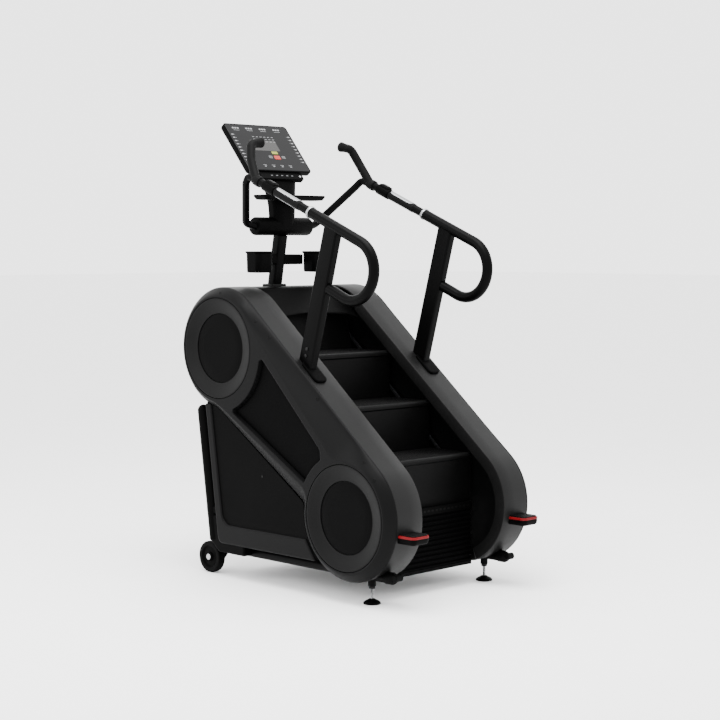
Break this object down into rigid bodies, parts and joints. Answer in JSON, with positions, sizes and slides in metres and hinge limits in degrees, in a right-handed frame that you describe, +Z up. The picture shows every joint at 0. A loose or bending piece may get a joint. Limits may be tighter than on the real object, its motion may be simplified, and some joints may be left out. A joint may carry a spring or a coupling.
{
  "type": "stair climber",
  "caption": "Gym stair climber with moving steps between two side shrouds, looped handrails with grips, mast console, cup holders, transport wheels and levelling feet.",
  "frame": {"origin": "middle of the footprint on the floor, midway between the entry steps and the front of the console", "axes": "+Z up, +Y the way the user faces, +X to the user's right"},
  "size_m": [0.86, 1.3734, 1.9615],
  "materials": {
    "shroud_black": "fine moulded texture, satin",
    "band_grey": "fine moulded texture, satin",
    "ring_grey": "fine moulded texture, satin",
    "cap_black": "fine moulded texture, matte",
    "recess_black": "coarse moulded texture, matte",
    "panel_black": "fine moulded texture, satin",
    "tread_black": "ribbed, matte",
    "frame_black": "satin powder coat",
    "grip_rubber": "matte",
    "contact_steel": "brushed",
    "bright_steel": "turned",
    "chain_steel": "oiled",
    "bolt_dark": "satin",
    "trim_red": "satin",
    "tyre_black": "matte",
    "screen_glass": "gloss",
    "key_red": "satin",
    "key_yellow": "satin",
    "key_grey": "satin",
    "copper": "wound",
    "box_grey": "satin"
  },
  "bodies": {
    "machine": {"base_rails": "frame_black", "cross_members": "frame_black", "side_plates": "frame_black", "posts": "frame_black", "left_handrail": "frame_black", "right_handrail": "frame_black", "front_tubes": "frame_black", "mast": "frame_black", "rail_end_caps": "tyre_black", "alternator_belt": "tyre_black", "shaft_bearings": "chain_steel", "drive_chain": "chain_steel", "chain_guides": "recess_black", "recess_panels": "recess_black", "power_inlet": "recess_black", "left_shroud": "shroud_black", "right_shroud": "shroud_black", "disc_rings": "ring_grey", "disc_caps": "cap_black", "base_panels": "panel_black", "left_front_leg": "panel_black", "right_front_leg": "panel_black", "hood": "panel_black", "front_cover": "panel_black", "rear_grille": "panel_black", "entry_steps": "panel_black", "post_collars": "panel_black", "rail_sleeves": "panel_black", "neck": "panel_black", "tray": "panel_black", "cup_holders": "panel_black", "console_housing": "panel_black", "entry_trims": "trim_red", "left_horn": "grip_rubber", "right_horn": "grip_rubber", "contact_plates": "contact_steel", "console_glass": "screen_glass", "fasteners": "bolt_dark", "foot_nuts": "bolt_dark", "wheel_axles": "bright_steel", "alternator": "box_grey", "control_box": "box_grey"},
    "climbing_flight": {"climbing_steps": "tread_black", "climbing_chain": "chain_steel"},
    "return_flight": {"return_steps": "tread_black", "return_chain": "chain_steel"},
    "drive_shaft": {"drive_shaft": "chain_steel"},
    "idler_shaft": {"idler_shaft": "chain_steel"},
    "jackshaft": {"jackshaft": "chain_steel"},
    "alternator_rotor": {"alternator_rotor": "copper"},
    "left_wheel": {"left_wheel": "tyre_black"},
    "right_wheel": {"right_wheel": "tyre_black"},
    "left_foot": {"left_foot": "panel_black"},
    "right_foot": {"right_foot": "panel_black"},
    "stop_key": {"stop_key": "key_red"},
    "start_key": {"start_key": "key_yellow"},
    "level_up_key": {"level_up_key": "key_grey"},
    "level_down_key": {"level_down_key": "key_grey"},
    "left_rail_button": {"left_rail_button": "grip_rubber"},
    "right_rail_button": {"right_rail_button": "grip_rubber"}
  },
  "joints": [
    {"name": "stairs_climb", "type": "slide", "parent": "machine", "child": "climbing_flight", "axis": [0, 0.7606, 0.6492], "range_m": [0, 0.03]},
    {"name": "stairs_return", "type": "slide", "parent": "machine", "child": "return_flight", "axis": [0, -0.7606, -0.6492], "range_m": [0, 0.03]},
    {"name": "drive_turn", "type": "hinge", "parent": "machine", "child": "drive_shaft", "pos_m": [0, 0.42034, 0.985], "axis": [-1, 0, 0], "range_deg": [0, 21.49]},
    {"name": "idler_turn", "type": "hinge", "parent": "machine", "child": "idler_shaft", "pos_m": [0, -0.225, 0.43417], "axis": [-1, 0, 0], "range_deg": [0, 21.49]},
    {"name": "jack_turn", "type": "hinge", "parent": "machine", "child": "jackshaft", "pos_m": [0, 0.34034, 0.42], "axis": [-1, 0, 0], "range_deg": [0, 85.94]},
    {"name": "rotor_turn", "type": "hinge", "parent": "machine", "child": "alternator_rotor", "pos_m": [0, 0.22034, 0.27], "axis": [-1, 0, 0], "range_deg": [0, 309.4]},
    {"name": "left_wheel_roll", "type": "hinge", "parent": "machine", "child": "left_wheel", "pos_m": [-0.363, 0.54034, 0.0685], "axis": [1, 0, 0], "continuous": true},
    {"name": "right_wheel_roll", "type": "hinge", "parent": "machine", "child": "right_wheel", "pos_m": [0.363, 0.54034, 0.0685], "axis": [1, 0, 0], "continuous": true},
    {"name": "left_foot_screw", "type": "slide", "parent": "machine", "child": "left_foot", "axis": [0, 0, -1], "range_m": [0, 0.02]},
    {"name": "right_foot_screw", "type": "slide", "parent": "machine", "child": "right_foot", "axis": [0, 0, -1], "range_m": [0, 0.02]},
    {"name": "stop_press", "type": "slide", "parent": "machine", "child": "stop_key", "axis": [0, 0.766, -0.6428], "range_m": [0, 0.0015], "stiffness_N_per_m": 500, "springref_m": -0.001},
    {"name": "start_press", "type": "slide", "parent": "machine", "child": "start_key", "axis": [0, 0.766, -0.6428], "range_m": [0, 0.0015], "stiffness_N_per_m": 500, "springref_m": -0.001},
    {"name": "level_up_press", "type": "slide", "parent": "machine", "child": "level_up_key", "axis": [0, 0.766, -0.6428], "range_m": [0, 0.0015], "stiffness_N_per_m": 500, "springref_m": -0.001},
    {"name": "level_down_press", "type": "slide", "parent": "machine", "child": "level_down_key", "axis": [0, 0.766, -0.6428], "range_m": [0, 0.0015], "stiffness_N_per_m": 500, "springref_m": -0.001},
    {"name": "left_rail_press", "type": "slide", "parent": "machine", "child": "left_rail_button", "axis": [0, 0.3859, -0.9225], "range_m": [0, 0.0015], "stiffness_N_per_m": 500, "springref_m": -0.001},
    {"name": "right_rail_press", "type": "slide", "parent": "machine", "child": "right_rail_button", "axis": [0, 0.3859, -0.9225], "range_m": [0, 0.0015], "stiffness_N_per_m": 500, "springref_m": -0.001}
  ],
  "couplings": [
    {"joint": "stairs_return", "follows": "stairs_climb", "ratio": 1},
    {"joint": "drive_turn", "follows": "stairs_climb", "rad_per_m": 12.5},
    {"joint": "idler_turn", "follows": "stairs_climb", "rad_per_m": 12.5},
    {"joint": "jack_turn", "follows": "stairs_climb", "rad_per_m": 50},
    {"joint": "rotor_turn", "follows": "stairs_climb", "rad_per_m": 180}
  ]
}
